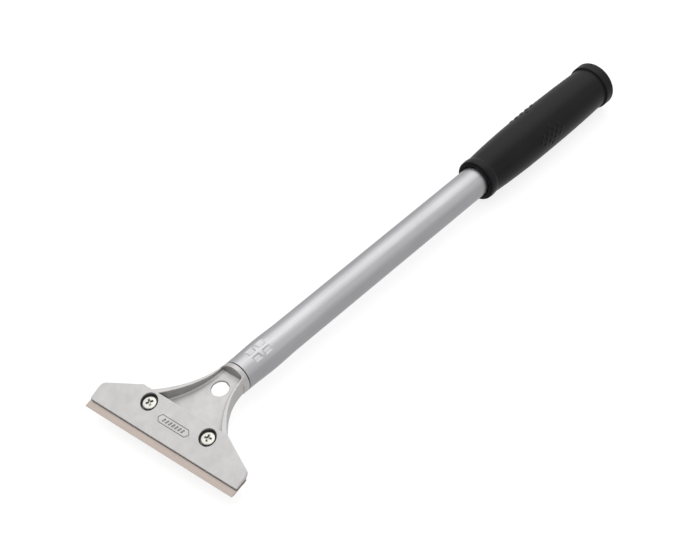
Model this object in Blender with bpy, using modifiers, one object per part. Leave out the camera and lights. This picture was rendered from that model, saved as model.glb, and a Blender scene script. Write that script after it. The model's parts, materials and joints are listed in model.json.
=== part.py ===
"""Long-handled scraper for glass and pond walls.

A cast head holds a 100 mm blade under a screwed clamp plate. The head's spigot is crimped
into an aluminium handle tube, and a rubber grip covers the tube's far end.

The handle's frame has its origin on the tube's axis at the tube's front end, +Y along the
handle towards the grip, +X along the blade and +Z up, away from the sole of the head.
The seat's frame is tilted about X: its X runs along the blade, Y back from the cutting edge
and Z up through the clamp plate, with Z = 0 on the plate's underside.
"""
import itertools
import math

import bmesh
import bpy
from mathutils import Matrix, Vector

# ---------------------------------------------------------------- driving dimensions, metres
GAP = 0.0003                 # clearance between pieces that touch

BLADE_WIDTH = 0.100
BLADE_DEPTH = 0.0115
BLADE_THICKNESS = 0.0008
BEVEL_LENGTH = 0.0018        # ground face behind the cutting edge
EDGE_THICKNESS = 0.00006

EDGE_Y = -0.0605             # cutting edge, in the handle's frame
SEAT_Z = -0.0048             # plate's underside carried forward to the edge, handle's frame
SEAT_TILT = math.radians(17.0)

PLATE_HALF_WIDTH = 0.0498
PLATE_FRONT = 0.0042         # distances back from the cutting edge, along the seat
PLATE_SHOULDER = 0.01435
PLATE_REAR = 0.0245
PLATE_REAR_HALF_WIDTH = 0.0284
PLATE_LIP = 0.0011           # thickness at the front edge
PLATE_REAR_THICKNESS = 0.00463
PLATE_SHOULDER_RADIUS = 0.0045
PLATE_CORNER_RADIUS = 0.0016

SCREW_SPACING = 0.0398
SCREW_BACK = 0.01835         # screw axes, back from the cutting edge
SCREW_HEAD_RADIUS = 0.0039
SCREW_HEAD_BOTTOM = 0.0011   # heights above the plate's underside
SCREW_HEAD_TOP = 0.0031
SCREW_SHANK_RADIUS = 0.0020
SCREW_TIP = -0.0045
SCREW_HOLE_RADIUS = 0.0023
COUNTERBORE_RADIUS = 0.00484
COUNTERBORE_FLOOR = 0.0008
RECESS_LENGTH = 0.0042       # cross recess in the screw head
RECESS_WIDTH = 0.0010
RECESS_DEPTH = 0.0011
SCREW_CROWN = 0.0007         # chamfer round the top of the head
SCREW_CHAMFER = 0.0004       # and round the tip of the shank
SCREW_TURNS = {"left": math.radians(8), "right": math.radians(-27)}

BASE_FRONT = 0.0080          # front lip of the casting, back from the cutting edge
SOLE_Z = -0.0042
RIM_FRONT_Z = 0.0027         # top of the neck's rims where they meet the plate
RIM_REAR_Z = 0.0055          # and at the collar
NECK_FRONT_Y = -0.0371
NECK_REAR_Y = -0.0060
NECK_HALF_WIDTH = 0.0081     # outside, at the collar
NECK_SLOPE = 0.13            # the outside widens by slope * t + flare * t * t
NECK_FLARE = 15.5
POCKET_FRONT_Y = -0.0362
POCKET_REAR_Y = -0.0035
POCKET_HALF_WIDTH = 0.0065
POCKET_SLOPE = 0.05
POCKET_FLARE = 12.7
WEB_FRONT_Z = -0.0026        # top of the web at the front and rear of its slope
WEB_REAR_Z = 0.0036
WEB_LEVEL_Y = -0.0317        # the web is level in front of here
WEB_THICKNESS = 0.0015
HANG_HOLE_Y = -0.0131
HANG_HOLE_RADIUS = 0.0048
SPIGOT_RADIUS = 0.0075
SPIGOT_LENGTH = 0.040
SPIGOT_CHAMFER = 0.0008

TUBE_RADIUS = 0.0089
TUBE_WALL = 0.0011
TUBE_LENGTH = 0.3080
CRIMP_START = 0.003          # the tube swells over the spigot between these stations
CRIMP_END = 0.039
CRIMP_SWELL = 0.0004
CRIMP_CENTRE_Y = 0.0156
CRIMP_TURN = math.radians(10.0)      # the crimp's centre, turned from the top towards +X
PAD_OFFSET = 0.0040          # pad centres, along the tube from the crimp's centre
PAD_ANGLE = math.radians(16.5)       # and round the tube
PAD_SIZE = (0.0026, 0.0050)
PAD_FLOOR_RADIUS = 0.0086
PAD_OPENING = 0.0027         # reach of a pad's cutter outside the tube

GRIP_START = 0.199
GRIP_END = 0.315
GRIP_BORE_RADIUS = TUBE_RADIUS + GAP
GRIP_RADIUS = 0.0137         # at the belly
GRIP_BELLY = 0.062           # distances back from the grip's front
GRIP_WAIST = 0.0086
GRIP_WAIST_RADIUS = 0.01196
GRIP_LIP_RADIUS = 0.01225
LIP_PROFILE = ((0.0008, 0.0), (0.0002, 0.0010), (0.0, 0.0030), (0.0001, 0.0055))    # drop, distance
GRIP_NECK = 0.1085           # where the taper meets the flange
GRIP_NECK_RADIUS = 0.01262
FLANGE_RADIUS = 0.0135
FLANGE_RISE = 0.0006         # length of the step up to the flange
FLANGE_EDGE = 0.0016         # rounding of the rear edge

ROUND_STEPS = 48
HOLE_STEPS = 32
AXIS_HEIGHT = GRIP_RADIUS
MIDDLE_Y = (EDGE_Y + GRIP_END) / 2
FAR = 0.08                   # reach of a cutter that passes right through
REACH = 0.02                 # reach of a cutter past the face that it slopes or drills
MARGIN = 0.001               # reach of a cutter past the surface that it opens
HEAD_BLANK_TOP = 0.010       # tops of the blanks that the head and plate are cut from
PLATE_BLANK_TOP = 0.006
HANG_HOLE_REACH = (-0.006, 0.006)        # ends of the hole's cutter, from the web
ACROSS = Matrix(((0, 0, 1, 0), (1, 0, 0, 0), (0, 1, 0, 0), (0, 0, 0, 1)))    # XY outline to YZ


# ---------------------------------------------------------------- helpers
def clear_scene():
    for obj in list(bpy.data.objects):
        bpy.data.objects.remove(obj, do_unlink=True)


def new_collection(name):
    collection = bpy.data.collections.new(name)
    bpy.context.scene.collection.children.link(collection)
    return collection


def new_empty(name, collection, parent=None, matrix=Matrix()):
    empty = bpy.data.objects.new(name, None)
    empty.empty_display_size = 0.02
    collection.objects.link(empty)
    empty.parent = parent
    empty.matrix_basis = matrix
    return empty


def new_object(name, mesh, collection, parent, location=(0, 0, 0), rotation=(0, 0, 0)):
    obj = bpy.data.objects.new(name, mesh)
    collection.objects.link(obj)
    obj.parent = parent
    obj.location = location
    obj.rotation_euler = rotation
    return obj


def outline_mesh(name, outline, half_depth, matrix=Matrix()):
    """A flat outline in XY, thickened both ways along Z, as one welded mesh."""
    curve = bpy.data.curves.new(name + "_outline", "CURVE")
    curve.dimensions = "2D"
    curve.fill_mode = "BOTH"
    curve.extrude = half_depth
    spline = curve.splines.new("POLY")
    spline.points.add(len(outline) - 1)
    for point, (x, y) in zip(spline.points, outline):
        point.co = (x, y, 0, 1)
    spline.use_cyclic_u = True
    holder = bpy.data.objects.new(name + "_outline", curve)
    bpy.context.scene.collection.objects.link(holder)
    depsgraph = bpy.context.evaluated_depsgraph_get()
    mesh = bpy.data.meshes.new_from_object(holder.evaluated_get(depsgraph))
    bpy.data.objects.remove(holder, do_unlink=True)
    bpy.data.curves.remove(curve)
    bm = bmesh.new()
    bm.from_mesh(mesh)
    bmesh.ops.remove_doubles(bm, verts=bm.verts, dist=1e-6)
    bmesh.ops.transform(bm, matrix=matrix, verts=bm.verts)
    bmesh.ops.recalc_face_normals(bm, faces=bm.faces)
    bm.to_mesh(mesh)
    bm.free()
    mesh.name = name
    return mesh


def box_mesh(name, low, high):
    size = [b - a for a, b in zip(low, high)]
    centre = [(a + b) / 2 for a, b in zip(low, high)]
    bm = bmesh.new()
    matrix = Matrix.Translation(centre) @ Matrix.Diagonal((*size, 1))
    bmesh.ops.create_cube(bm, size=1.0, matrix=matrix)
    mesh = bpy.data.meshes.new(name)
    bm.to_mesh(mesh)
    bm.free()
    return mesh


def cylinder_mesh(name, radius, low, high, steps=ROUND_STEPS):
    """A cylinder on Z from low to high."""
    bm = bmesh.new()
    bmesh.ops.create_cone(bm, cap_ends=True, segments=steps, radius1=radius, radius2=radius,
                          depth=high - low, matrix=Matrix.Translation((0, 0, (low + high) / 2)))
    mesh = bpy.data.meshes.new(name)
    bm.to_mesh(mesh)
    bm.free()
    return mesh


def turned(name, profile, closed, collection, parent, rotation=(0, 0, 0), location=(0, 0, 0)):
    """A profile of (radius, height) points, turned about Z with a Screw modifier."""
    mesh = bpy.data.meshes.new(name)
    edges = [(i, i + 1) for i in range(len(profile) - 1)]
    if closed:
        edges.append((len(profile) - 1, 0))
    mesh.from_pydata([(r, 0, z) for r, z in profile], edges, [])
    obj = new_object(name, mesh, collection, parent, location, rotation)
    screw = obj.modifiers.new("turn", "SCREW")
    screw.axis = "Z"
    screw.steps = ROUND_STEPS
    screw.render_steps = ROUND_STEPS
    screw.use_merge_vertices = True
    screw.merge_threshold = 0.00001
    screw.use_normal_calculate = False
    return obj


def boolean(obj, cutter, operation="DIFFERENCE"):
    modifier = obj.modifiers.new(cutter.name, "BOOLEAN")
    modifier.operation = operation
    modifier.object = cutter
    modifier.solver = "EXACT"
    cutter.hide_render = True
    cutter.display_type = "WIRE"


def material(name, colour, roughness, metallic):
    mat = bpy.data.materials.new(name)
    mat.use_nodes = True
    shader = mat.node_tree.nodes["Principled BSDF"]
    shader.inputs["Base Color"].default_value = (*colour, 1)
    shader.inputs["Roughness"].default_value = roughness
    shader.inputs["Metallic"].default_value = metallic
    return mat


def finish(obj, mat, angle=30):
    obj.data.materials.append(mat)
    obj.data.shade_smooth()
    obj.data.set_sharp_from_angle(angle=math.radians(angle))


def mirrored(half):
    """A closed outline from the points of its +X half."""
    return list(half) + [(-x, y) for x, y in reversed(half)]


def arc(centre, radius, start, end, steps):
    """Points on an arc; angles in radians."""
    angles = [start + (end - start) * i / steps for i in range(steps + 1)]
    return [(centre[0] + radius * math.cos(a), centre[1] + radius * math.sin(a)) for a in angles]


def rounded(corners, steps=5):
    """An open run of (x, y, radius) corners as points, each corner with a radius rounded."""
    points = [corners[0][:2]]
    for before, corner, after in zip(corners, corners[1:], corners[2:]):
        x, y, radius = corner
        inward = Vector((before[0] - x, before[1] - y)).normalized()
        onward = Vector((after[0] - x, after[1] - y)).normalized()
        half_angle = inward.angle(onward) / 2
        middle = (inward + onward).normalized() * (radius / math.sin(half_angle))
        centre = (x + middle.x, y + middle.y)
        side = 1 if inward.cross(onward) < 0 else -1
        face = math.atan2(-middle.y, -middle.x)
        sweep = side * (math.pi / 2 - half_angle)
        points += arc(centre, radius, face - sweep, face + sweep, steps)
    return points + [corners[-1][:2]]


def flared_side(half_width, slope, flare, rear, front, steps=12):
    """One side of the neck, from its rear to its front, widening as it goes forward."""
    points = []
    for i in range(steps + 1):
        t = (rear - front) * i / steps
        points.append((half_width + slope * t + flare * t * t, rear - t))
    return points


# ---------------------------------------------------------------- head casting
def head_outline():
    """Plan of the head in the handle's frame: fan under the plate, then the neck."""
    cosine = math.cos(SEAT_TILT)
    lip_y = EDGE_Y + BASE_FRONT * cosine
    shoulder_y = EDGE_Y + PLATE_SHOULDER * cosine
    neck = flared_side(NECK_HALF_WIDTH, NECK_SLOPE, NECK_FLARE, NECK_REAR_Y, NECK_FRONT_Y)
    neck.reverse()
    half = rounded([(PLATE_HALF_WIDTH, lip_y, 0),
                    (PLATE_HALF_WIDTH, shoulder_y, PLATE_SHOULDER_RADIUS), (*neck[0], 0)])
    half += neck[1:]
    half.append((NECK_HALF_WIDTH, POCKET_REAR_Y + GAP))
    return mirrored(half)


def pocket_outline():
    """Plan of the hollow between the rims."""
    side = flared_side(POCKET_HALF_WIDTH, POCKET_SLOPE, POCKET_FLARE, POCKET_REAR_Y, POCKET_FRONT_Y)
    return mirrored(list(reversed(side)))


def side_profile(name, outline, collection, parent):
    """A cutter with its outline in the YZ plane, passing right across the head."""
    return new_object(name, outline_mesh(name, outline, FAR, ACROSS), collection, parent)


def web_height(y):
    slope = (WEB_REAR_Z - WEB_FRONT_Z) / (POCKET_REAR_Y - WEB_LEVEL_Y)
    return max(WEB_FRONT_Z, WEB_REAR_Z + slope * (y - POCKET_REAR_Y))


def sloped_top(near, near_z, far, far_z):
    """Outline in YZ of everything above the line through two points."""
    slope = (far_z - near_z) / (far - near)
    near_end = (near - REACH, near_z - slope * REACH)
    far_end = (far + REACH, far_z + slope * REACH)
    return [near_end, far_end, (far_end[0], FAR), (near_end[0], FAR)]


def make_head(parts, cutters, axis, seat):
    lift = Matrix.Translation((0, 0, (SOLE_Z + HEAD_BLANK_TOP) / 2))
    mesh = outline_mesh("head", head_outline(), (HEAD_BLANK_TOP - SOLE_Z) / 2, lift)
    head = new_object("head", mesh, parts, axis)

    # Seat: the plate rests on the land, and the blade lies in the step in front of it.
    land = box_mesh("land_cut", (-FAR, -FAR, -GAP), (FAR, PLATE_REAR + GAP, FAR))
    step = box_mesh("blade_cut", (-FAR, -FAR, -BLADE_THICKNESS - 2 * GAP),
                    (FAR, BLADE_DEPTH + GAP, FAR))
    boolean(head, new_object("land_cut", land, cutters, seat))
    boolean(head, new_object("blade_cut", step, cutters, seat))

    # Rim tops slope up from the plate to the collar.
    rim = sloped_top(NECK_FRONT_Y, RIM_FRONT_Z, POCKET_REAR_Y, RIM_REAR_Z)
    boolean(head, side_profile("rim_cut", rim, cutters, axis))

    # The web between the rims: a pocket above it and a wedge below it, as two cutters
    # with the hollow's plan, each kept to its side of the web by a second outline.
    for name, drop, edge_z in (("pocket_cut", 0.0, FAR), ("underside_cut", WEB_THICKNESS, -FAR)):
        plan = new_object(name, outline_mesh(name, pocket_outline(), FAR), cutters, axis)
        kept = [(y, web_height(y) - drop) for y in (-FAR, WEB_LEVEL_Y, FAR)]
        kept += [(FAR, edge_z), (-FAR, edge_z)]
        keeper = side_profile(name + "_side", kept, cutters, axis)
        boolean(plan, keeper, "INTERSECT")
        boolean(head, plan)

    # Collar and spigot, turned about the handle's axis.
    rear = (-math.pi / 2, 0, 0)
    profile = [(0, SPIGOT_LENGTH), (SPIGOT_RADIUS - SPIGOT_CHAMFER, SPIGOT_LENGTH),
               (SPIGOT_RADIUS, SPIGOT_LENGTH - SPIGOT_CHAMFER), (SPIGOT_RADIUS, -GAP),
               (TUBE_RADIUS, -GAP), (TUBE_RADIUS, POCKET_REAR_Y), (0, POCKET_REAR_Y)]
    spigot = turned("spigot", profile, False, cutters, axis, rear)
    boolean(head, spigot, "UNION")

    # Hanging hole square to the web, and the two threaded holes square to the seat.
    slope = math.atan2(WEB_REAR_Z - WEB_FRONT_Z, POCKET_REAR_Y - WEB_LEVEL_Y)
    hole = new_object("hang_cut", cylinder_mesh("hang_cut", HANG_HOLE_RADIUS, *HANG_HOLE_REACH),
                      cutters, axis, (0, HANG_HOLE_Y, web_height(HANG_HOLE_Y)), (slope, 0, 0))
    boolean(head, hole)
    for side, x in screw_places():
        name = "thread_cut_" + side
        mesh = cylinder_mesh(name, SCREW_HOLE_RADIUS, -REACH, REACH, HOLE_STEPS)
        boolean(head, new_object(name, mesh, cutters, seat, (x, SCREW_BACK, 0)))
    finish(head, material("cast_grey", (0.58, 0.57, 0.56), 0.42, 0.85))
    return head


# ---------------------------------------------------------------- plate, blade and screws
def screw_places():
    return (("left", -SCREW_SPACING / 2), ("right", SCREW_SPACING / 2))


def plate_outline():
    """Plan of the plate in the seat's frame, with rounded shoulders and rear corners."""
    return mirrored(rounded([(PLATE_HALF_WIDTH, PLATE_FRONT, 0),
                             (PLATE_HALF_WIDTH, PLATE_SHOULDER, PLATE_SHOULDER_RADIUS),
                             (PLATE_REAR_HALF_WIDTH, PLATE_REAR, PLATE_CORNER_RADIUS),
                             (0, PLATE_REAR, 0)])[:-1])


def make_clamp_plate(parts, cutters, seat):
    half_blank = PLATE_BLANK_TOP / 2
    lift = Matrix.Translation((0, 0, half_blank))
    plan = outline_mesh("clamp_plate", plate_outline(), half_blank, lift)
    plate = new_object("clamp_plate", plan, parts, seat)
    top = sloped_top(PLATE_FRONT, PLATE_LIP, PLATE_REAR, PLATE_REAR_THICKNESS)
    boolean(plate, side_profile("plate_top_cut", top, cutters, seat))
    for side, x in screw_places():
        bore = cylinder_mesh("bore_cut_" + side, COUNTERBORE_RADIUS, COUNTERBORE_FLOOR, FAR)
        hole = cylinder_mesh("hole_cut_" + side, SCREW_HOLE_RADIUS, -REACH, REACH, HOLE_STEPS)
        for mesh in (bore, hole):
            boolean(plate, new_object(mesh.name, mesh, cutters, seat, (x, SCREW_BACK, 0)))
    finish(plate, material("plate_grey", (0.60, 0.59, 0.58), 0.40, 0.85))
    return plate


def make_blade(parts, seat):
    """Blade section in the seat's YZ plane: flat on top, ground to an edge underneath."""
    top = -GAP
    bottom = -GAP - BLADE_THICKNESS
    section = [(0, top), (0, top - EDGE_THICKNESS), (BEVEL_LENGTH, bottom),
               (BLADE_DEPTH, bottom), (BLADE_DEPTH, top)]
    mesh = outline_mesh("blade", section, BLADE_WIDTH / 2, ACROSS)
    blade = new_object("blade", mesh, parts, seat)
    finish(blade, material("blade_steel", (0.50, 0.42, 0.37), 0.38, 1.0), 5)
    return blade


def make_screws(parts, cutters, seat):
    steel = material("screw_steel", (0.80, 0.79, 0.72), 0.25, 1.0)
    profile = [(0, SCREW_HEAD_TOP), (SCREW_HEAD_RADIUS - SCREW_CROWN, SCREW_HEAD_TOP),
               (SCREW_HEAD_RADIUS, SCREW_HEAD_TOP - SCREW_CROWN),
               (SCREW_HEAD_RADIUS, SCREW_HEAD_BOTTOM), (SCREW_SHANK_RADIUS, SCREW_HEAD_BOTTOM),
               (SCREW_SHANK_RADIUS, SCREW_TIP + SCREW_CHAMFER),
               (SCREW_SHANK_RADIUS - SCREW_CHAMFER, SCREW_TIP), (0, SCREW_TIP)]
    for side, x in screw_places():
        place = (x, SCREW_BACK, 0)
        turn = SCREW_TURNS[side]
        screw = turned("screw_" + side, profile, False, parts, seat, (0, 0, turn), place)
        for index in range(2):
            name = "recess_%s_%d" % (side, index)
            half = RECESS_LENGTH / 2
            bar = box_mesh(name, (-half, -RECESS_WIDTH / 2, SCREW_HEAD_TOP - RECESS_DEPTH),
                           (half, RECESS_WIDTH / 2, SCREW_HEAD_TOP + MARGIN))
            spin = turn + math.pi / 4 + index * math.pi / 2
            boolean(screw, new_object(name, bar, cutters, seat, place, (0, 0, spin)))
        finish(screw, steel)


# ---------------------------------------------------------------- handle
def tube_swell(y):
    if not CRIMP_START < y < CRIMP_END:
        return 0.0
    return CRIMP_SWELL * math.sin(math.pi * (y - CRIMP_START) / (CRIMP_END - CRIMP_START)) ** 2


def make_tube(parts, cutters, axis):
    swell_steps = 10
    stations = [0.0] + [CRIMP_START + (CRIMP_END - CRIMP_START) * i / swell_steps
                        for i in range(swell_steps + 1)] + [TUBE_LENGTH]
    profile = [(TUBE_RADIUS + tube_swell(y), y) for y in reversed(stations)]
    inside = TUBE_RADIUS - TUBE_WALL
    profile += [(inside, 0.0), (inside, TUBE_LENGTH)]
    tube = turned("handle_tube", profile, True, parts, axis, (-math.pi / 2, 0, 0))
    places = itertools.product((0, 1), (-1, 1), (-1, 1))
    for index, (side, along, across) in enumerate(places):
        name = "pad_cut_%d" % index
        angle = CRIMP_TURN + side * math.pi + across * PAD_ANGLE
        centre = CRIMP_CENTRE_Y + along * PAD_OFFSET
        pad = box_mesh(name, (-PAD_SIZE[0] / 2, centre - PAD_SIZE[1] / 2, PAD_FLOOR_RADIUS),
                       (PAD_SIZE[0] / 2, centre + PAD_SIZE[1] / 2, TUBE_RADIUS + PAD_OPENING))
        boolean(tube, new_object(name, pad, cutters, axis, rotation=(0, angle, 0)))
    finish(tube, material("tube_aluminium", (0.66, 0.66, 0.68), 0.34, 1.0))
    return tube


def grip_profile():
    """Outside of the grip as (radius, distance from its front), front to rear."""
    points = [(GRIP_LIP_RADIUS - drop, d) for drop, d in LIP_PROFILE]
    steps = 8
    for i in range(steps + 1):
        d = GRIP_WAIST + (GRIP_BELLY - GRIP_WAIST) * i / steps
        share = (GRIP_BELLY - d) / (GRIP_BELLY - GRIP_WAIST)
        drop = (GRIP_RADIUS - GRIP_WAIST_RADIUS) * share ** 2
        points.append((GRIP_RADIUS - drop, d))
    for i in range(1, steps + 1):
        d = GRIP_BELLY + (GRIP_NECK - GRIP_BELLY) * i / steps
        share = (d - GRIP_BELLY) / (GRIP_NECK - GRIP_BELLY)
        drop = (GRIP_RADIUS - GRIP_NECK_RADIUS) * share ** 2
        points.append((GRIP_RADIUS - drop, d))
    points.append((FLANGE_RADIUS - FLANGE_RISE / 6, GRIP_NECK + FLANGE_RISE))
    length = GRIP_END - GRIP_START
    centre = (length - FLANGE_EDGE, FLANGE_RADIUS - FLANGE_EDGE)
    corner = arc(centre, FLANGE_EDGE, math.pi / 2, 0, 5)
    points += [(radius, d) for d, radius in corner]
    return points


def make_grip(parts, axis):
    bottom = TUBE_LENGTH - GRIP_START + GAP      # blind end of the bore
    profile = list(reversed(grip_profile()))
    length = GRIP_END - GRIP_START
    bore = [(GRIP_BORE_RADIUS, 0), (GRIP_BORE_RADIUS, bottom), (0, bottom)]
    profile = [(0, length)] + profile + bore
    grip = turned("grip", profile, False, parts, axis, (-math.pi / 2, 0, 0), (0, GRIP_START, 0))
    finish(grip, material("grip_rubber", (0.012, 0.012, 0.014), 0.5, 0.0))
    return grip


def main():
    clear_scene()
    parts = new_collection("scraper")
    cutters = new_collection("cutters")
    axis = new_empty("handle_axis", parts, matrix=Matrix.Translation((0, -MIDDLE_Y, AXIS_HEIGHT)))
    tilt = Matrix.Translation((0, EDGE_Y, SEAT_Z)) @ Matrix.Rotation(SEAT_TILT, 4, "X")
    seat = new_empty("blade_seat", parts, axis, tilt)
    make_head(parts, cutters, axis, seat)
    make_clamp_plate(parts, cutters, seat)
    make_blade(parts, seat)
    make_screws(parts, cutters, seat)
    make_tube(parts, cutters, axis)
    make_grip(parts, axis)


main()
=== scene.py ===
import json
import math
from itertools import product

import bpy
import numpy as np
from mathutils import Matrix, Vector

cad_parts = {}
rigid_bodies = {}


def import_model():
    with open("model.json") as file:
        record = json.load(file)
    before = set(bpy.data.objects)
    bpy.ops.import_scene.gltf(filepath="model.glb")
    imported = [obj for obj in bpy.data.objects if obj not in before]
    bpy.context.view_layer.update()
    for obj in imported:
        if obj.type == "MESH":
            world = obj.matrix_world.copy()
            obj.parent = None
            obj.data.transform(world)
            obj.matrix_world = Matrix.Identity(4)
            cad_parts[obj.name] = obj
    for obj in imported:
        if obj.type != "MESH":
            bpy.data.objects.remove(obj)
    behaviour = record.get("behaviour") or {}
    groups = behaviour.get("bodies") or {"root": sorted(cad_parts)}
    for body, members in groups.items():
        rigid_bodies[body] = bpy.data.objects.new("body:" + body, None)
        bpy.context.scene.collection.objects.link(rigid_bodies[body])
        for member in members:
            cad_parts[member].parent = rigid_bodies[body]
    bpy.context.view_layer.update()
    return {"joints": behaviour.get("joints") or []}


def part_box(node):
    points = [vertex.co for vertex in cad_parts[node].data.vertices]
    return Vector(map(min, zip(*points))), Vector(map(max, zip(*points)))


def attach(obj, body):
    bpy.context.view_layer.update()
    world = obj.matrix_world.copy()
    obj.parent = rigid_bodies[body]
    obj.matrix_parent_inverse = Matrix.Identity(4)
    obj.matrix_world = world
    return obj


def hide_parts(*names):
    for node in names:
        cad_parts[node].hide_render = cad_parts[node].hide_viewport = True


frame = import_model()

MM = 0.001
GAP = 0.3

# ---------------------------------------------------------------- shared dimensions, mm
EDGE_Y = -60.5
SEAT_Z = -4.8
BLADE_HALF_WIDTH = 50.0
BLADE_THICKNESS = 0.8
BLADE_DEPTH = 11.5
PLATE_HALF_WIDTH = 49.8
PLATE_FRONT = 4.2
PLATE_SHOULDER = 14.35
PLATE_REAR = 24.5
PLATE_REAR_HALF_WIDTH = 28.4
PLATE_LIP = 1.1
PLATE_REAR_THICKNESS = 4.63
SHOULDER_RADIUS = 4.5
SCREW_X = 19.9
SCREW_BACK = 18.35
SCREW_HEAD_RADIUS = 3.9
SCREW_HEAD_BOTTOM = 1.1
SCREW_HEAD_TOP = 3.1
SCREW_HOLE_RADIUS = 2.3
COUNTERBORE_RADIUS = 4.84
COUNTERBORE_FLOOR = 0.8
TUBE_RADIUS = 8.9
TUBE_WALL = 1.1
TUBE_LENGTH = 308.0
COLLAR_FRONT_Y = -3.5
SPIGOT_RADIUS = 7.5
GRIP_START = 199.0
GRIP_LENGTH = 116.0


# ---------------------------------------------------------------- local frames, from the record
def column_matrix(origin, x, y, z):
    matrix = Matrix.Identity(4)
    for index, vector in enumerate((x, y, z, origin)):
        for row in range(3):
            matrix[row][index] = vector[row]
    return matrix


joints = {joint["name"]: joint for joint in frame["joints"]}
tube_low, tube_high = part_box("handle_tube")
HANDLE = Matrix.Translation((0, tube_low.y, (tube_low.z + tube_high.z) / 2))
seat_up = Vector(joints["clamp_lift"]["axis"]).normalized()
seat_back = -Vector(joints["blade_slide"]["axis"]).normalized()
seat_tilt = math.atan2(seat_back.z, seat_back.y)
screw_top = Vector(joints["screw_left_turn"]["pos_m"])
screw_top.x = 0
seat_origin = screw_top - seat_back * (SCREW_BACK * MM) - seat_up * (SCREW_HEAD_TOP * MM)
SEAT = column_matrix(seat_origin, Vector((1, 0, 0)), seat_back, seat_up)


# ---------------------------------------------------------------- mesh helpers
def place(name, mesh, matrix, material, body, node):
    obj = bpy.data.objects.new(name, mesh)
    bpy.context.scene.collection.objects.link(obj)
    obj.matrix_world = matrix
    mesh.materials.append(material)
    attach(obj, body)
    if node:
        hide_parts(node)
    return obj


def mesh_from(name, points, faces):
    mesh = bpy.data.meshes.new(name)
    mesh.from_pydata((np.asarray(points) * MM).tolist(), [], [list(face) for face in faces])
    mesh.update()
    return mesh


def smooth(mesh, angle=None):
    mesh.shade_smooth()
    if angle is not None:
        mesh.set_sharp_from_angle(angle=math.radians(angle))
    return mesh


def round_max(a, b, radius):
    """Intersection of two distance fields, its edge rounded."""
    u = np.maximum(radius + a, 0)
    v = np.maximum(radius + b, 0)
    return np.minimum(-radius, np.maximum(a, b)) + np.sqrt(u * u + v * v)


def round_min(a, b, radius):
    """Union of two distance fields, its corner filleted."""
    return -round_max(-a, -b, radius)


def sample_grid(low, high, step):
    """Coordinate arrays of a regular grid, centred on x = 0 so both halves mesh alike."""
    half = int(math.ceil(high[0] / step)) + 1
    xs = (np.arange(-half, half) + 0.5) * step
    ys = np.arange(low[1], high[1] + step, step)
    zs = np.arange(low[2], high[2] + step, step)
    shape = [np.float32(axis) for axis in (xs, ys, zs)]
    return (shape[0][:, None, None], shape[1][None, :, None], shape[2][None, None, :]), shape


def level_surface(name, field, axes):
    """Quad mesh of the zero level of a field, one vertex in each cell that it crosses."""
    inside = field < 0
    for axis in range(3):
        if inside.take((0, -1), axis=axis).any():
            raise ValueError(name + " reaches the edge of its sampling grid")
    counts = np.array(inside.shape)
    cells = tuple(counts - 1)

    def corner(array, offset):
        return array[tuple(slice(o, o + n) for o, n in zip(offset, cells))]

    any_in = np.zeros(cells, bool)
    all_in = np.ones(cells, bool)
    for offset in product((0, 1), repeat=3):
        any_in |= corner(inside, offset)
        all_in &= corner(inside, offset)
    active = any_in & ~all_in
    index = np.full(cells, -1, np.int32)
    total = int(active.sum())
    index[active] = np.arange(total, dtype=np.int32)
    at = np.argwhere(active)
    place_sum = np.zeros((total, 3))
    crossings = np.zeros(total)
    for direction in range(3):
        for offset in product((0, 1), repeat=3):
            if offset[direction]:
                continue
            far = list(offset)
            far[direction] = 1
            a = corner(field, offset)[active].astype(float)
            b = corner(field, tuple(far))[active].astype(float)
            crossed = (a < 0) != (b < 0)
            share = a[crossed] / (a[crossed] - b[crossed])
            point = np.tile(np.array(offset, float), (int(crossed.sum()), 1))
            point[:, direction] += share
            place_sum[crossed] += point
            crossings[crossed] += 1
    spot = at + place_sum / crossings[:, None]
    origin = np.array([axis[0] for axis in axes], float)
    step = np.array([axis[1] - axis[0] for axis in axes], float)
    faces = []
    for direction in range(3):
        side, up = [d for d in range(3) if d != direction]
        first = [slice(1, n - 1) for n in counts]
        second = list(first)
        first[direction] = slice(0, counts[direction] - 1)
        second[direction] = slice(1, counts[direction])
        start, end = inside[tuple(first)], inside[tuple(second)]
        for flag, flip in ((start & ~end, direction == 1), (end & ~start, direction != 1)):
            where = np.argwhere(flag)
            where[:, side] += 1
            where[:, up] += 1
            ring = []
            for back_side, back_up in ((1, 1), (0, 1), (0, 0), (1, 0)):
                shifted = where.copy()
                shifted[:, side] -= back_side
                shifted[:, up] -= back_up
                ring.append(index[tuple(shifted.T)])
            quads = np.stack(ring, axis=1)
            faces.append(quads[:, ::-1] if flip else quads)
    return smooth(mesh_from(name, origin + spot * step, np.concatenate(faces).tolist()))


def arc(centre, radius, start, end, steps):
    angles = [start + (end - start) * i / steps for i in range(steps + 1)]
    return [(centre[0] + radius * math.cos(a), centre[1] + radius * math.sin(a)) for a in angles]


def rounded(corners, steps=8):
    """A closed run of (x, y, radius) corners, counter-clockwise, as points with round corners."""
    points = []
    count = len(corners)
    for i, (x, y, radius) in enumerate(corners):
        before, after = corners[i - 1], corners[(i + 1) % count]
        inward = Vector((before[0] - x, before[1] - y)).normalized()
        onward = Vector((after[0] - x, after[1] - y)).normalized()
        half = inward.angle(onward) / 2
        middle = (inward + onward).normalized() * (radius / math.sin(half))
        face = math.atan2(-middle.y, -middle.x)
        sweep = math.pi / 2 - half
        points += arc((x + middle.x, y + middle.y), radius, face - sweep, face + sweep, steps)
    return points


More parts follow.
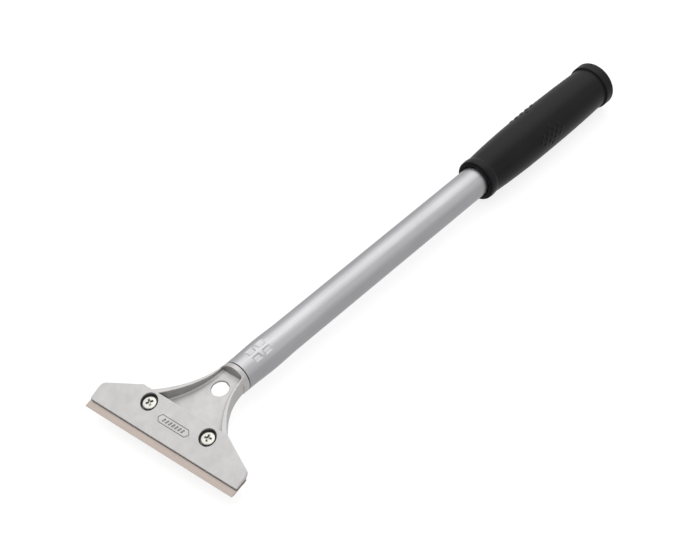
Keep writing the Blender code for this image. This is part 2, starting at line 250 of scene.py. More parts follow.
def inset(outline, distance):
    """A closed outline moved inwards by a distance."""
    count = len(outline)
    moved = []
    for i, point in enumerate(outline):
        a, b = Vector(outline[i - 1]), Vector(outline[(i + 1) % count])
        p = Vector(point)
        before, after = (p - a).normalized(), (b - p).normalized()
        normal = Vector((-(before.y + after.y), before.x + after.x)).normalized()
        miter = max(0.5, normal.dot(Vector((-before.y, before.x))))
        moved.append(p + normal * (distance / miter))
    return [(p.x, p.y) for p in moved]


def stacked(name, rings):
    """A closed body from rings of matching points, the first and last capped."""
    count = len(rings[0])
    points = [p for ring in rings for p in ring]
    faces = [list(range(count))[::-1], [len(points) - count + i for i in range(count)]]
    for level in range(len(rings) - 1):
        low, high = level * count, (level + 1) * count
        for i in range(count):
            j = (i + 1) % count
            faces.append([low + i, low + j, high + j, high + i])
    return mesh_from(name, points, faces)


def revolved(name, rows, columns, closed, radius_at=None):
    """Rows of (y, radius) turned about the Y axis, from the front to the rear."""
    angles = np.arange(columns) * (2 * math.pi / columns)
    ys = np.array([row[0] for row in rows])[:, None] * np.ones(columns)
    radii = np.array([row[1] for row in rows])[:, None] * np.ones(columns)
    if radius_at is not None:
        radii = radius_at(ys, np.broadcast_to(angles, ys.shape), radii)
    points = np.stack([radii * np.cos(angles), ys, radii * np.sin(angles)], axis=2).reshape(-1, 3)
    faces = []
    levels = len(rows) if closed else len(rows) - 1
    for level in range(levels):
        low = level * columns
        high = ((level + 1) % len(rows)) * columns
        for i in range(columns):
            j = (i + 1) % columns
            faces.append([low + i, high + i, high + j, low + j])
    if not closed:
        faces.append(list(range(columns)))
        faces.append([len(points) - 1 - i for i in range(columns)])
    return mesh_from(name, points, faces)


# ---------------------------------------------------------------- head casting
NECK_FRONT_Y = -37.1
NECK_REAR_Y = -6.0
SOLE_Z = -4.2
BASE_FRONT = 8.0             # front lip of the casting, back from the cutting edge
FAN_REAR_HALF_WIDTH = 27.2
RIM_FRONT_Z = 2.7            # tops of the neck's rims at the plate and at the collar
RIM_REAR_Z = 5.5
POCKET_FRONT_Y = -36.2
WEB_LEVEL_Y = -31.7          # the web is level in front of here
WEB_FRONT_Z = -2.6
WEB_REAR_Z = 3.6
WEB_THICKNESS = 1.5
UNDERSIDE_FRONT_Y = -31.0
UNDERSIDE_EXTRA = 0.7        # the hollow underneath is wider than the pocket all round
HANG_HOLE_Y = -13.1
HANG_HOLE_Z = 1.5
HANG_HOLE_RADIUS = 4.8
BELL_SLOPE = 0.12            # the neck keeps inside a bell that opens forward from the collar
BELL_FLARE = 0.024
HEAD_CELL = 0.29


def neck_half_width(y):
    t = np.clip(NECK_REAR_Y - y, 0, 40)
    return 8.1 + 0.13 * t + 0.0155 * t * t, 0.13 + 0.031 * t


def pocket_half_width(y):
    t = np.clip(COLLAR_FRONT_Y - y, 0, 40)
    return 6.5 + 0.05 * t + 0.0127 * t * t, 0.05 + 0.0254 * t


def sloping_plane(y, z, start, end):
    """Signed height above the plane through two (y, z) points, level along X."""
    dy, dz = end[0] - start[0], end[1] - start[1]
    length = math.hypot(dy, dz)
    return ((z - start[1]) * dy - (y - start[0]) * dz) / length


def head_field(x, y, z):
    side = np.abs(x)
    s = (y - EDGE_Y) * math.cos(seat_tilt) + (z - SEAT_Z) * math.sin(seat_tilt)
    n = (z - SEAT_Z) * math.cos(seat_tilt) - (y - EDGE_Y) * math.sin(seat_tilt)

    # fan under the plate: end walls, slanted sides, front lip and rear face
    shoulder_y = EDGE_Y + PLATE_SHOULDER * math.cos(seat_tilt)
    rear_x, front_x = FAN_REAR_HALF_WIDTH, PLATE_HALF_WIDTH
    run, drop = rear_x - front_x, NECK_FRONT_Y - shoulder_y
    length = math.hypot(run, drop)
    slant = ((side - front_x) * drop - (y - shoulder_y) * run) / length
    fan = round_max(side - front_x, slant, SHOULDER_RADIUS)
    fan = round_max(fan, y - POCKET_FRONT_Y, 0.5)
    fan = round_max(fan, EDGE_Y + BASE_FRONT * math.cos(seat_tilt) - y, 0.4)

    # neck: flared sides, rims rising to the collar
    half, slope = neck_half_width(y)
    neck = (side - half) / np.sqrt(1 + slope * slope)
    neck = np.maximum(neck, -40.0 - y)
    neck = np.maximum(neck, y - (COLLAR_FRONT_Y + 1.2))
    radial = np.sqrt(x * x + z * z)
    t = np.clip(COLLAR_FRONT_Y + 1.5 - y, 0, 40)
    bell = radial - TUBE_RADIUS - BELL_SLOPE * t - BELL_FLARE * t * t
    bell = bell / np.sqrt(1 + (BELL_SLOPE + 2 * BELL_FLARE * t) ** 2)
    neck = round_max(neck, bell, 1.2)
    body = round_min(fan, neck, 1.6)
    rim_top = sloping_plane(y, z, (NECK_FRONT_Y, RIM_FRONT_Z), (COLLAR_FRONT_Y, RIM_REAR_Z))
    body = round_max(body, rim_top, 0.5)
    body = round_max(body, SOLE_Z - z, 0.5)

    # collar, blended into the neck
    collar = round_max(radial - TUBE_RADIUS, np.maximum(COLLAR_FRONT_Y - 1.0 - y, y + GAP), 0.3)
    body = round_min(body, collar, 0.8)
    body = round_max(body, y + GAP, 0.3)

    # the web between the rims, hollowed from above and below
    half, slope = pocket_half_width(y)
    wall = (side - half) / np.sqrt(1 + slope * slope)
    wall = round_max(round_max(wall, y - COLLAR_FRONT_Y, 0.6), POCKET_FRONT_Y - y, 0.5)
    slope_web = sloping_plane(y, z, (WEB_LEVEL_Y, WEB_FRONT_Z), (COLLAR_FRONT_Y, WEB_REAR_Z))
    web = np.where(y < WEB_LEVEL_Y, WEB_FRONT_Z - z, -slope_web)
    body = round_max(body, -round_max(wall, web, 0.8), 0.4)
    under = round_max(wall - UNDERSIDE_EXTRA, UNDERSIDE_FRONT_Y - y, 0.5)
    under = round_max(under, slope_web + WEB_THICKNESS, 0.6)
    body = round_max(body, -under, 0.4)

    # seat, hanging hole and threaded holes
    body = round_max(body, -round_max(-GAP - n, s - (PLATE_REAR + GAP), 0.25), 0.3)
    step = np.maximum(-BLADE_THICKNESS - 2 * GAP - n, s - (BLADE_DEPTH + GAP))
    body = round_max(body, -step, 0.25)
    angle = math.atan2(WEB_REAR_Z - WEB_FRONT_Z, COLLAR_FRONT_Y - WEB_LEVEL_Y)
    along = (y - HANG_HOLE_Y) * math.cos(angle) + (z - HANG_HOLE_Z) * math.sin(angle)
    hole = np.sqrt(x * x + along * along) - HANG_HOLE_RADIUS
    body = round_max(body, -np.maximum(hole, y - COLLAR_FRONT_Y), 0.35)
    bore = np.sqrt((side - SCREW_X) ** 2 + (s - SCREW_BACK) ** 2) - SCREW_HOLE_RADIUS
    return round_max(body, -bore, 0.25)


def make_head(material):
    low, high = (-50.4, -56.0, -TUBE_RADIUS - 0.6), (50.4, 0.5, 10.0)
    (x, y, z), axes = sample_grid(low, high, HEAD_CELL)
    field = head_field(x, y, z).astype(np.float32)
    mesh = level_surface("head_casting", field, axes)
    return place("head_casting", mesh, HANDLE, material, "handle", "head")


def make_spigot(material):
    rows = [(-0.6, SPIGOT_RADIUS - 0.4), (-0.5, SPIGOT_RADIUS)]
    for y in range(3, 39, 4):
        rows += [(y - 0.25, SPIGOT_RADIUS), (y, SPIGOT_RADIUS - 0.3), (y + 0.25, SPIGOT_RADIUS)]
    rows += [(39.2, SPIGOT_RADIUS), (40.0, SPIGOT_RADIUS - 0.8)]
    mesh = smooth(revolved("head_spigot", rows, 64, False), 35)
    return place("head_spigot", mesh, HANDLE, material, "handle", "head")


# ---------------------------------------------------------------- clamp plate
def plate_top(s):
    slope = (PLATE_REAR_THICKNESS - PLATE_LIP) / (PLATE_REAR - PLATE_FRONT)
    return PLATE_LIP + slope * (s - PLATE_FRONT)


def plate_corners():
    right = [(PLATE_HALF_WIDTH, PLATE_FRONT, 0.8),
             (PLATE_HALF_WIDTH, PLATE_SHOULDER, SHOULDER_RADIUS),
             (PLATE_REAR_HALF_WIDTH, PLATE_REAR, 1.6)]
    return right + [(-x, y, r) for x, y, r in reversed(right)]


def plate_blank():
    outline = rounded(plate_corners(), 10)
    top_edge, bottom_edge, steps = 0.35, 0.2, 4
    rings = []
    for i in range(steps + 1):
        angle = math.pi / 2 * i / steps
        ring = inset(outline, bottom_edge * (1 - math.sin(angle)))
        rings.append([(x, s, bottom_edge * (1 - math.cos(angle))) for x, s in ring])
    for i in range(steps + 1):
        angle = math.pi / 2 * i / steps
        ring = inset(outline, top_edge * (1 - math.cos(angle)))
        rings.append([(x, s, plate_top(s) - top_edge * (1 - math.sin(angle))) for x, s in ring])
    return stacked("clamp_plate_body", rings)


def cutter(name, rows, x):
    """A turned cutter on the seat's normal at a screw; rows are (height, radius)."""
    points = []
    columns = 96
    for height, radius in rows:
        for i in range(columns):
            a = 2 * math.pi * i / columns
            points.append((x + radius * math.cos(a), SCREW_BACK + radius * math.sin(a), height))
    faces = [list(range(columns))[::-1], [len(points) - columns + i for i in range(columns)]]
    for level in range(len(rows) - 1):
        for i in range(columns):
            j = (i + 1) % columns
            low, high = level * columns, (level + 1) * columns
            faces.append([low + i, low + j, high + j, high + i])
    obj = bpy.data.objects.new(name, mesh_from(name, points, faces))
    bpy.context.scene.collection.objects.link(obj)
    return obj


def applied(name, obj):
    """The object's mesh with its modifiers applied, as a new mesh."""
    bpy.context.view_layer.update()
    graph = bpy.context.evaluated_depsgraph_get()
    mesh = bpy.data.meshes.new_from_object(obj.evaluated_get(graph))
    mesh.name = name
    return mesh


def discard(objects):
    for obj in objects:
        bpy.data.objects.remove(obj, do_unlink=True)


def make_plate(material):
    blank = bpy.data.objects.new("plate_blank", plate_blank())
    bpy.context.scene.collection.objects.link(blank)
    cutters = []
    for x in (-SCREW_X, SCREW_X):
        rows = [(-1, SCREW_HOLE_RADIUS + 0.2), (0.0, SCREW_HOLE_RADIUS + 0.2), (0.2, SCREW_HOLE_RADIUS),
                (COUNTERBORE_FLOOR, SCREW_HOLE_RADIUS), (COUNTERBORE_FLOOR, COUNTERBORE_RADIUS - 0.2),
                (COUNTERBORE_FLOOR + 0.2, COUNTERBORE_RADIUS), (9, COUNTERBORE_RADIUS)]
        cutters.append(cutter("bore", rows, x))
    for tool in cutters:
        modifier = blank.modifiers.new("bore", "BOOLEAN")
        modifier.operation = "DIFFERENCE"
        modifier.solver = "EXACT"
        modifier.object = tool
    bevel = blank.modifiers.new("edges", "BEVEL")
    bevel.width = 0.22 * MM
    bevel.segments = 3
    bevel.limit_method = "ANGLE"
    bevel.angle_limit = math.radians(50)
    mesh = applied("clamp_plate_body", blank)
    discard([blank] + cutters)
    smooth(mesh, 40)
    plate = place("clamp_plate_body", mesh, SEAT, material, "clamp", "clamp_plate")
    weighted = plate.modifiers.new("normals", "WEIGHTED_NORMAL")
    weighted.keep_sharp = True
    weighted.weight = 90
    return plate


def strip(name, outline, width, lift):
    """A closed line on the plate's top, as a low strip with chamfered edges."""
    rings = []
    for offset, height in ((width / 2, -0.05), (width / 2, 0.4 * lift), (width / 4, lift),
                           (-width / 4, lift), (-width / 2, 0.4 * lift), (-width / 2, -0.05)):
        rings.append([(x, s, plate_top(s) + height) for x, s in inset(outline, -offset)])
    count = len(outline)
    points = [p for ring in rings for p in ring]
    faces = []
    for level in range(len(rings)):
        low, high = level * count, ((level + 1) % len(rings)) * count
        for i in range(count):
            j = (i + 1) % count
            faces.append([low + i, low + j, high + j, high + i])
    return points, faces


def make_mark(material):
    """A generic mark: a long six-sided outline round a row of slanted bars."""
    half_long, half_high, centre, slant, corner = 10.4, 2.1, 14.4, 1.6, 0.4
    bottom, top = centre - half_high, centre + half_high
    outlines = [rounded([(-half_long + slant, bottom, corner), (half_long - slant, bottom, corner),
                         (half_long, centre, corner), (half_long - slant, top, corner),
                         (-half_long + slant, top, corner), (-half_long, centre, corner)], 3)]
    for index in range(7):
        x = (index - 3) * 2.1
        lean, high, wide, corner = 0.45, 0.85, 0.32, 0.12
        bar = [(x - lean - wide, centre - high, corner), (x - lean + wide, centre - high, corner),
               (x + lean + wide, centre + high, corner), (x + lean - wide, centre + high, corner)]
        outlines.append(rounded(bar, 3))
    points, faces = [], []
    for outline in outlines:
        more, quads = strip("mark", outline, 0.32, 0.035)
        faces += [[i + len(points) for i in quad] for quad in quads]
        points += more
    mesh = smooth(mesh_from("plate_mark", points, faces), 30)
    return place("plate_mark", mesh, SEAT, material, "clamp", None)


# ---------------------------------------------------------------- blade
def make_blade(material):
    top, bottom = -GAP, -GAP - BLADE_THICKNESS
    section = [(0.0, top - 0.075), (0.03, top - 0.045), (0.45, top), (2.0, top), (5.0, top), (8.0, top),
               (BLADE_DEPTH - 0.1, top), (BLADE_DEPTH, top - 0.1), (BLADE_DEPTH, bottom + 0.1),
               (BLADE_DEPTH - 0.1, bottom), (8.0, bottom), (1.8, bottom)]
    stations = [-BLADE_HALF_WIDTH, -BLADE_HALF_WIDTH + 0.08]
    stations += [float(v) for v in np.linspace(-BLADE_HALF_WIDTH + 1, BLADE_HALF_WIDTH - 1, 50)]
    stations += [BLADE_HALF_WIDTH - 0.08, BLADE_HALF_WIDTH]
    rings = []
    for x in stations:
        shrink = 0.06 if abs(x) > BLADE_HALF_WIDTH - 0.01 else 0.0
        centre_s, centre_n = BLADE_DEPTH / 2, (top + bottom) / 2
        ring = []
        for s, n in section:
            ring.append((x, s + shrink * np.sign(centre_s - s), n + shrink * np.sign(centre_n - n)))
        rings.append(ring)
    mesh = smooth(stacked("scraper_blade", rings), 12)
    return place("scraper_blade", mesh, SEAT, material, "blade", "blade")


# ---------------------------------------------------------------- screws
THREAD_PITCH = 0.7
THREAD_ROOT_RADIUS = 1.62
THREAD_DEPTH = 0.36
SCREW_TIP = -4.5
SCREW_HEAD_CROWN = 17.0      # radius of the slightly domed head
RECESS_DEPTH = 1.5
SCREW_CELL = 0.088


def screw_field(x, y, z, turn):
    radial = np.sqrt(x * x + y * y)
    around = np.arctan2(y, x)
    crown_z = z - SCREW_HEAD_TOP + SCREW_HEAD_CROWN
    crown = np.sqrt(radial ** 2 + crown_z ** 2) - SCREW_HEAD_CROWN
    head = round_max(round_max(radial - SCREW_HEAD_RADIUS, crown, 0.55), SCREW_HEAD_BOTTOM - z, 0.25)
    depth = np.clip(SCREW_HEAD_TOP - z, -1, 2)
    arms = []
    for angle in (math.pi / 4, -math.pi / 4):
        u = x * math.cos(turn + angle) + y * math.sin(turn + angle)
        v = -x * math.sin(turn + angle) + y * math.cos(turn + angle)
        half_width, half_length = 0.58 - 0.12 * depth, 2.25 - 0.75 * depth
        arms.append(round_max(np.abs(v) - half_width, np.abs(u) - half_length, 0.15))
    recess = round_min(arms[0], arms[1], 0.35)
    floor = depth - RECESS_DEPTH + 0.25 * radial
    recess = round_max(recess, floor, 0.15)
    head = round_max(head, -recess, 0.12)
    wave = np.abs(((z / THREAD_PITCH - around / (2 * math.pi)) % 1.0) * 2 - 1)
    shank = (radial - THREAD_ROOT_RADIUS - THREAD_DEPTH * wave) * 0.72
    shank = np.maximum(shank, np.maximum(z - SCREW_HEAD_BOTTOM - 0.3, radial + (SCREW_TIP - z) - 1.3))
    shank = np.maximum(shank, SCREW_TIP - z)
    neck = np.maximum(radial - 1.75, np.maximum(0.2 - z, z - SCREW_HEAD_BOTTOM - 0.3))
    return np.minimum(head, np.minimum(shank, neck))


def make_screw(side, x, turn, material):
    (gx, gy, gz), axes = sample_grid((-4.1, -4.1, -4.7), (4.1, 4.1, 3.3), SCREW_CELL)
    field = screw_field(gx, gy, gz, math.radians(turn)).astype(np.float32)
    name = "screw_" + side + "_body"
    mesh = level_surface(name, field, axes)
    matrix = SEAT @ Matrix.Translation((x * MM, SCREW_BACK * MM, 0))
    node = "screw_" + side
    return place(name, mesh, matrix, material, node, node)


# ---------------------------------------------------------------- handle tube
CRIMP_CENTRE_Y = 14.9
CRIMP_ANGLE = math.radians(77.0)
CRIMP_DEPTH = 0.62           # four dents on each side, round a cross of lands
CRIMP_HALF_ACROSS = 3.9
CRIMP_HALF_ALONG = 5.7
SWELL_START = 3.0            # the tube swells a little over the spigot
SWELL_END = 39.0
SWELL_HEIGHT = 0.38


def step_up(value, start, width):
    t = np.clip((value - start) / width, 0, 1)
    return t * t * (3 - 2 * t)


def tube_radius_at(ys, angles, radii):
    outer = radii > TUBE_RADIUS - 0.5
    arch = np.sin(math.pi * (ys - SWELL_START) / (SWELL_END - SWELL_START)) ** 2
    swell = np.where((ys > SWELL_START) & (ys < SWELL_END), SWELL_HEIGHT * arch, 0)
    out = radii + np.where(outer, swell, 0)
    for punch in (CRIMP_ANGLE, CRIMP_ANGLE + math.pi):
        phi = (angles - punch + math.pi) % (2 * math.pi) - math.pi
        across = np.abs(phi) * 9.2
        along = np.abs(ys - CRIMP_CENTRE_Y)
        depth = CRIMP_DEPTH - 0.05 * np.clip(across - 1.2, 0, 3) - 0.06 * np.clip(along - 1.2, 0, 6)
        mask = step_up(across, 0.95, 0.35) * step_up(along, 1.15, 0.35)
        mask = mask * (1 - step_up(across, CRIMP_HALF_ACROSS, 0.55))
        mask = mask * (1 - step_up(along, CRIMP_HALF_ALONG, 0.8))
        land = 0.25 * (1 - step_up(across, 1.0, 5.0)) * (1 - step_up(along, 4.5, 5.0))
        out = out - np.where(outer & (np.abs(phi) < 1), depth * mask + land, 0)
    return out


def make_tube(material):
    inside = TUBE_RADIUS - TUBE_WALL
    rows = [(0.12, inside), (0.0, inside + 0.12)]
    edge = 0.3
    rows += [(edge * (1 - math.sin(a)), TUBE_RADIUS - edge * (1 - math.cos(a)))
             for a in (math.pi / 2, math.pi / 3, math.pi / 6, 0)]
    rows += [(float(y), TUBE_RADIUS) for y in np.arange(0.7, 42.0, 0.3)]
    rows += [(float(y), TUBE_RADIUS) for y in np.linspace(46, TUBE_LENGTH - 4, 24)]
    rows += [(TUBE_LENGTH - edge, TUBE_RADIUS), (TUBE_LENGTH, TUBE_RADIUS - edge),
             (TUBE_LENGTH, inside)]
    mesh = smooth(revolved("handle_tube_body", rows, 216, True, tube_radius_at), 60)
    return place("handle_tube_body", mesh, HANDLE, material, "handle", "handle_tube")


# ---------------------------------------------------------------- grip
PAD_HEIGHT = 0.3
PAD_CENTRE_Y = 255.0
PAD_ROW_STEP = 2.75          # round the grip, at PAD_RING_RADIUS
PAD_COLUMN_STEP = 4.8        # along the grip
PAD_RING_RADIUS = 13.6
PAD_HALF_SIZE = 0.85
PAD_GROUP_HALF_LENGTH = 10.5
PAD_GROUP_HALF_WIDTH = 9.0
FIRST_GROUP_ANGLE = 20
FLANGE_RADIUS = 13.5
FLANGE_EDGE = 1.6


def grip_profile(d):
    """Outside radius of the grip at a distance back from its front."""
    knots = [(0.0, 11.75), (0.6, 12.08), (2.2, 12.25), (3.8, 12.22), (4.9, 12.12), (5.35, 11.9),
             (5.7, 11.84), (8.6, 11.94), (12.9, 12.24), (17.2, 12.5), (25.9, 12.9), (34.7, 13.2),
             (43.5, 13.33), (52.4, 13.38), (61.3, 13.4), (70.4, 13.38), (79.5, 13.28), (88.6, 13.1),
             (97.9, 12.84), (107.2, 12.5), (108.5, 12.42)]
    xs, ys = [k[0] for k in knots], [k[1] for k in knots]
    return np.interp(d, xs, ys)


def pad_mask(ys, angles):
    """Height share of the small raised pads: three diamond groups round the grip."""
    height = np.zeros_like(ys)
    for group in range(3):
        middle = math.radians(FIRST_GROUP_ANGLE + 120 * group)
        turned = ((angles - middle + math.pi) % (2 * math.pi) - math.pi) * PAD_RING_RADIUS
        for row in range(-3, 4):
            for column in range(-2, 3):
                v = row * PAD_ROW_STEP
                u = column * PAD_COLUMN_STEP + (PAD_COLUMN_STEP / 2 if row % 2 else 0.0)
                if abs(u) / PAD_GROUP_HALF_LENGTH + abs(v) / PAD_GROUP_HALF_WIDTH > 1.05:
                    continue
                du = np.abs(ys - PAD_CENTRE_Y - u)
                dv = np.abs(turned - v)
                far = np.maximum(du, dv) + 0.25 * np.minimum(du, dv)
                height = np.maximum(height, 1 - step_up(far, PAD_HALF_SIZE, 0.35))
    return height


def grip_radius_at(ys, angles, radii):
    outer = (ys > GRIP_START + 6) & (ys < GRIP_START + 107) & (radii > 11)
    return radii + np.where(outer, PAD_HEIGHT * pad_mask(ys, angles), 0)


def make_grip(material):
    bore = TUBE_RADIUS + GAP
    bottom = TUBE_LENGTH + GAP
    rows = [(bottom, 0.3), (bottom, bore), (GRIP_START + 0.5, bore), (GRIP_START + 0.15, bore + 0.15),
            (GRIP_START, bore + 0.5), (GRIP_START, 11.3), (GRIP_START + 0.12, 11.6)]
    fronts = list(np.arange(0.35, 8.0, 0.3)) + list(np.arange(8.0, 40.0, 1.0))
    fronts += list(np.arange(40.0, 72.0, 0.3)) + list(np.arange(72.0, 108.4, 1.0))
    rows += [(GRIP_START + float(d), float(grip_profile(d))) for d in fronts]
    end, flange, edge = GRIP_START + GRIP_LENGTH, FLANGE_RADIUS, FLANGE_EDGE
    rows += [(GRIP_START + 108.5, 12.42), (GRIP_START + 108.75, 12.5), (GRIP_START + 108.9, 12.75),
             (GRIP_START + 108.95, 13.1), (GRIP_START + 109.1, 13.33), (GRIP_START + 109.45, 13.46)]
    rows += [(GRIP_START + float(d), flange) for d in np.arange(110.0, 114.2, 0.7)]
    rows += [(end - edge + edge * math.sin(a), flange - edge + edge * math.cos(a))
             for a in np.linspace(0.0, math.pi / 2, 9)]
    rows += [(end - 0.02, 10.4), (end - 0.1, 10.1), (end - 0.45, 9.8)]
    rows += [(end - 0.5, radius) for radius in (9.4, 5.0, 0.3)]
    mesh = smooth(revolved("grip_body", rows, 240, False, grip_radius_at), 50)
    return place("grip_body", mesh, HANDLE, material, "handle", "grip")


# ---------------------------------------------------------------- materials
class Shader:
    """A Principled material and short calls for the nodes that feed it."""

    def __init__(self, name, metallic, roughness):
        self.material = bpy.data.materials.new(name)
        self.material.use_nodes = True
        self.tree = self.material.node_tree
        self.surface = self.tree.nodes["Principled BSDF"]
        self.surface.inputs["Metallic"].default_value = metallic
        self.surface.inputs["Roughness"].default_value = roughness
        self.coordinates = self.tree.nodes.new("ShaderNodeTexCoord").outputs["Object"]

    def node(self, kind, **settings):
        node = self.tree.nodes.new(kind)
        for key, value in settings.items():
            setattr(node, key, value)
        return node

    def link(self, source, target):
        self.tree.links.new(source, target)

    def noise(self, scale, detail=3.0, stretch=(1, 1, 1), roughness=0.5):
        """Noise with features about one millimetre across at scale 1."""
        mapping = self.node("ShaderNodeMapping")
        mapping.inputs["Scale"].default_value = [s / MM for s in stretch]
        self.link(self.coordinates, mapping.inputs["Vector"])
        noise = self.node("ShaderNodeTexNoise")
        noise.inputs["Scale"].default_value = scale
        noise.inputs["Detail"].default_value = detail
        noise.inputs["Roughness"].default_value = roughness
        self.link(mapping.outputs["Vector"], noise.inputs["Vector"])
        return noise.outputs["Fac"]

    def ramp(self, value, low, high, to_low, to_high):
        node = self.node("ShaderNodeMapRange")
        limits = {"From Min": low, "From Max": high, "To Min": to_low, "To Max": to_high}
        for key, number in limits.items():
            node.inputs[key].default_value = number
        self.link(value, node.inputs["Value"])
        return node.outputs["Result"]

    def math(self, operation, a, b):
        node = self.node("ShaderNodeMath", operation=operation)
        for socket, value in zip(node.inputs, (a, b)):
            if isinstance(value, (int, float)):
                socket.default_value = value
            else:
                self.link(value, socket)
        return node.outputs["Value"]

    def mix(self, factor, first, second):
        node = self.node("ShaderNodeMix", data_type="RGBA")
        self.link(factor, node.inputs["Factor"])
        for socket, value in (("A", first), ("B", second)):
            target = [i for i in node.inputs if i.name == socket and i.type == "RGBA"][0]
            if isinstance(value, tuple):
                target.default_value = (*value, 1)
            else:
                self.link(value, target)
        return [o for o in node.outputs if o.type == "RGBA"][0]

    def shade_in_hollows(self, base, reach_mm, colour, amount):
        """The base colour darkened in hollows up to a few millimetres across: painted shade."""
        node = self.node("ShaderNodeAmbientOcclusion", samples=8)
        node.inputs["Distance"].default_value = reach_mm * MM
        return self.mix(self.ramp(node.outputs["AO"], 0.35, 0.8, amount, 0.0), base, colour)

    def colour(self, socket):
        self.link(socket, self.surface.inputs["Base Color"])

    def roughness(self, socket):
        self.link(socket, self.surface.inputs["Roughness"])

    def bump(self, height, depth_mm, strength=1.0):
        node = self.node("ShaderNodeBump")
        node.inputs["Strength"].default_value = strength
        node.inputs["Distance"].default_value = depth_mm * MM
        self.link(height, node.inputs["Height"])
        self.link(node.outputs["Normal"], self.surface.inputs["Normal"])


def casting_material(name, colour, wear, metallic):
    """Satin silver coat over a die casting: blasted grain, slight mottling, brighter edges."""
    shader = Shader(name, metallic, 0.42)
    grain = shader.noise(3.2, 4.0)
    mottle = shader.noise(0.16, 3.0)
    dark = tuple(c * 0.88 for c in colour)
    light = tuple(min(1.0, c * 1.06) for c in colour)
    base = shader.mix(shader.ramp(mottle, 0.3, 0.7, 0.0, 1.0), dark, light)
    specks = shader.ramp(grain, 0.35, 0.65, 0.0, 0.35)
    base = shader.mix(specks, base, tuple(c * 0.8 for c in colour))
    if wear:
        geometry = shader.node("ShaderNodeNewGeometry")
        edge = shader.ramp(geometry.outputs["Pointiness"], 0.52, 0.60, 0.0, wear)
        base = shader.mix(edge, base, (0.86, 0.85, 0.84))
    # painted shade: the casting colour goes dark in its hollows (pocket walls, counterbores, seat)
    shader.colour(shader.shade_in_hollows(base, 4.0, (0.10, 0.098, 0.095), 0.8))
    shader.roughness(shader.ramp(shader.math("ADD", mottle, grain), 0.6, 1.4, 0.36, 0.50))
    shader.bump(grain, 0.03, 0.35)
    return shader.material


def mark_material():
    shader = Shader("mark_ink", 0.3, 0.6)
    wear = shader.noise(2.5, 3.0)
    worn = shader.ramp(wear, 0.45, 0.75, 0.0, 0.5)
    shader.colour(shader.mix(worn, (0.035, 0.034, 0.036), (0.16, 0.155, 0.155)))
    shader.roughness(shader.ramp(wear, 0.3, 0.7, 0.5, 0.7))
    shader.bump(wear, 0.02, 0.3)
    return shader.material


def blade_material():
    """Rolled steel with a warm tint, fine grinding lines along the edge and faint staining."""
    shader = Shader("blade_steel", 1.0, 0.36)
    lines = shader.noise(1.0, 4.0, (0.05, 9.0, 9.0))
    stain = shader.noise(0.12, 4.0, (0.6, 1.6, 1.0), 0.6)
    stained = shader.ramp(stain, 0.35, 0.65, 0.0, 1.0)
    tint = shader.mix(stained, (0.43, 0.365, 0.335), (0.48, 0.415, 0.37))
    fine = shader.ramp(lines, 0.3, 0.7, 0.0, 0.45)
    shader.colour(shader.mix(fine, tint, (0.38, 0.33, 0.31)))
    shader.roughness(shader.ramp(shader.math("ADD", lines, stain), 0.6, 1.4, 0.30, 0.46))
    shader.bump(lines, 0.02, 0.35)
    return shader.material


def screw_material():
    shader = Shader("nickel_plate", 1.0, 0.24)
    cloud = shader.noise(0.6, 4.0)
    scratch = shader.noise(1.2, 3.0, (0.6, 7.0, 1.0))
    clouded = shader.ramp(cloud, 0.35, 0.65, 0.0, 1.0)
    base = shader.mix(clouded, (0.62, 0.61, 0.56), (0.72, 0.71, 0.66))
    # painted shade: the nickel colour goes dark in the cross recess and in the gap round the head
    shader.colour(shader.shade_in_hollows(base, 1.5, (0.05, 0.045, 0.03), 0.95))
    shader.roughness(shader.ramp(shader.math("ADD", cloud, scratch), 0.6, 1.4, 0.18, 0.34))
    shader.bump(scratch, 0.012, 0.25)
    return shader.material


def tube_material():
    """Satin anodised drawn tube: lengthwise streaks over a very fine grain."""
    shader = Shader("tube_aluminium", 1.0, 0.38)
    streaks = shader.noise(1.0, 3.0, (1.6, 0.02, 1.6))
    grain = shader.noise(4.5, 3.0, (1.0, 0.35, 1.0))
    cloud = shader.noise(0.07, 3.0, (1.0, 0.4, 1.0))
    clouded = shader.ramp(cloud, 0.3, 0.7, 0.0, 1.0)
    base = shader.mix(clouded, (0.49, 0.49, 0.507), (0.555, 0.555, 0.567))
    base = shader.mix(shader.ramp(streaks, 0.35, 0.7, 0.0, 0.35), base, (0.40, 0.40, 0.42))
    base = shader.mix(shader.ramp(grain, 0.4, 0.7, 0.0, 0.3), base, (0.42, 0.42, 0.435))
    shader.colour(base)
    shader.roughness(shader.ramp(shader.math("ADD", streaks, grain), 0.6, 1.4, 0.29, 0.39))
    shader.bump(shader.math("ADD", grain, shader.math("MULTIPLY", streaks, 0.6)), 0.018, 0.3)
    return shader.material


def rubber_material():
    """Moulded black rubber: fine spark texture, faint bloom and handling polish."""
    shader = Shader("grip_rubber", 0.0, 0.46)
    texture = shader.noise(2.6, 4.0)
    bloom = shader.noise(0.06, 4.0, (1.0, 0.6, 1.0), 0.6)
    bloomed = shader.ramp(bloom, 0.35, 0.7, 0.0, 1.0)
    shader.colour(shader.mix(bloomed, (0.0015, 0.0015, 0.002), (0.005, 0.005, 0.006)))
    shader.roughness(shader.ramp(shader.math("ADD", bloom, texture), 0.7, 1.3, 0.30, 0.42))
    shader.bump(texture, 0.04, 0.35)
    shader.surface.inputs["Specular IOR Level"].default_value = 0.2
    return shader.material


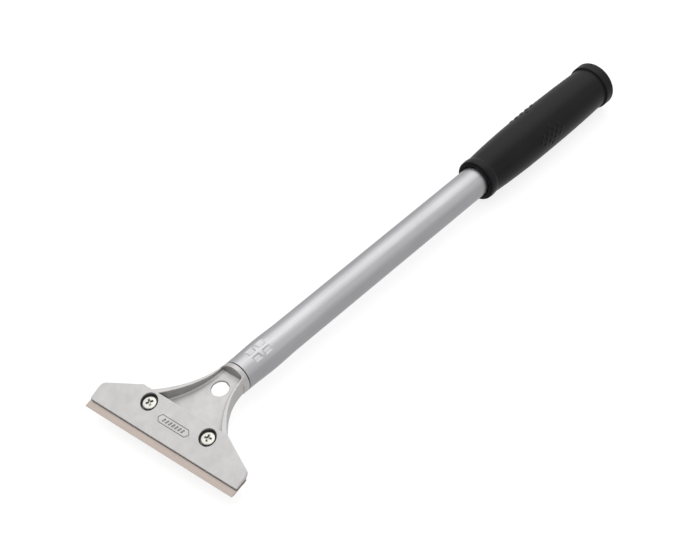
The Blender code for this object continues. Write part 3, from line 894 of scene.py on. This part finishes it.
# ---------------------------------------------------------------- stage, light and camera
def make_floor():
    shader = Shader("floor_white", 0.0, 0.8)
    cloud = shader.noise(0.01, 2.0)
    shader.colour(shader.mix(cloud, (0.28, 0.28, 0.28), (0.30, 0.30, 0.30)))
    shader.surface.inputs["Emission Color"].default_value = (1, 1, 1, 1)
    shader.surface.inputs["Emission Strength"].default_value = 0.8
    mesh = bpy.data.meshes.new("floor")
    size = 6.0
    corners = [(-size, -size, 0), (size, -size, 0), (size, size, 0), (-size, size, 0)]
    mesh.from_pydata(corners, [], [(0, 1, 2, 3)])
    mesh.materials.append(shader.material)
    floor = bpy.data.objects.new("floor", mesh)
    floor.location.z = -0.0002
    floor.visible_glossy = False
    bpy.context.scene.collection.objects.link(floor)


def make_world():
    """A soft studio: bright overhead on the left and behind, dimmer low down and in front."""
    world = bpy.data.worlds.new("studio")
    world.use_nodes = True
    tree = world.node_tree
    background = tree.nodes["Background"]
    coordinates = tree.nodes.new("ShaderNodeTexCoord")
    split = tree.nodes.new("ShaderNodeSeparateXYZ")
    tree.links.new(coordinates.outputs["Generated"], split.inputs["Vector"])

    def ramp(socket, low, high, to_low, to_high):
        node = tree.nodes.new("ShaderNodeMapRange")
        node.interpolation_type = "SMOOTHSTEP"
        limits = {"From Min": low, "From Max": high, "To Min": to_low, "To Max": to_high}
        for key, number in limits.items():
            node.inputs[key].default_value = number
        tree.links.new(socket, node.inputs["Value"])
        return node.outputs["Result"]

    def combine(operation, a, b):
        node = tree.nodes.new("ShaderNodeMath")
        node.operation = operation
        for socket, value in zip(node.inputs, (a, b)):
            if isinstance(value, float):
                socket.default_value = value
            else:
                tree.links.new(value, socket)
        return node.outputs[0]

    sky = ramp(split.outputs["Z"], 0.05, 0.45, 0.64, 0.92)
    overhead = ramp(split.outputs["Z"], 0.45, 0.85, 0.0, 0.55)
    left = ramp(split.outputs["X"], -0.1, 0.45, 1.0, 0.0)
    front = ramp(split.outputs["Y"], -0.65, -0.15, 0.5, 1.0)
    strength = combine("MULTIPLY", combine("ADD", sky, combine("MULTIPLY", overhead, left)), front)
    tree.links.new(strength, background.inputs["Strength"])
    background.inputs["Color"].default_value = (1.0, 1.0, 1.0, 1)
    bpy.context.scene.world = world


def area_light(name, location, target, size, power):
    light = bpy.data.lights.new(name, "AREA")
    light.shape = "RECTANGLE"
    light.size, light.size_y = size
    light.energy = power
    obj = bpy.data.objects.new(name, light)
    bpy.context.scene.collection.objects.link(obj)
    obj.location = location
    obj.rotation_euler = (Vector(target) - Vector(location)).to_track_quat("-Z", "Y").to_euler()


def make_camera():
    """The viewing point and direction are given from the handle frame's origin."""
    camera = bpy.data.cameras.new("camera")
    camera.lens = 115.0
    camera.sensor_width = 36.0
    camera.clip_start, camera.clip_end = 0.05, 20
    obj = bpy.data.objects.new("camera", camera)
    bpy.context.scene.collection.objects.link(obj)
    azimuth, elevation, roll = math.radians(-40.920), math.radians(-42.142), math.radians(-1.614)
    level = math.cos(elevation)
    forward = Vector((math.sin(azimuth) * level, math.cos(azimuth) * level, math.sin(elevation)))
    turn = forward.to_track_quat("-Z", "Y").to_matrix() @ Matrix.Rotation(roll, 3, "Z")
    spot = HANDLE.translation + Vector((0.57735, -0.57639, 0.80042))
    obj.matrix_world = Matrix.Translation(spot) @ turn.to_4x4()
    bpy.context.scene.camera = obj


def build():
    scene = bpy.context.scene
    for obj in [o for o in scene.objects if o.type in {"CAMERA", "LIGHT"} or o.name == "Cube"]:
        bpy.data.objects.remove(obj, do_unlink=True)
    scene.view_settings.view_transform = "Standard"
    casting = casting_material("cast_satin", (0.58, 0.57, 0.565), 0.5, 0.8)
    make_head(casting)
    make_spigot(casting)
    make_plate(casting_material("plate_satin", (0.66, 0.65, 0.645), 0.0, 0.65))
    make_mark(mark_material())
    make_blade(blade_material())
    nickel = screw_material()
    make_screw("left", -SCREW_X, 8, nickel)
    make_screw("right", SCREW_X, -27, nickel)
    make_tube(tube_material())
    make_grip(rubber_material())
    make_floor()
    make_world()
    area_light("key", (-0.25, 0.75, 1.1), (0, 0, 0), (1.4, 0.9), 1)
    make_camera()


build()
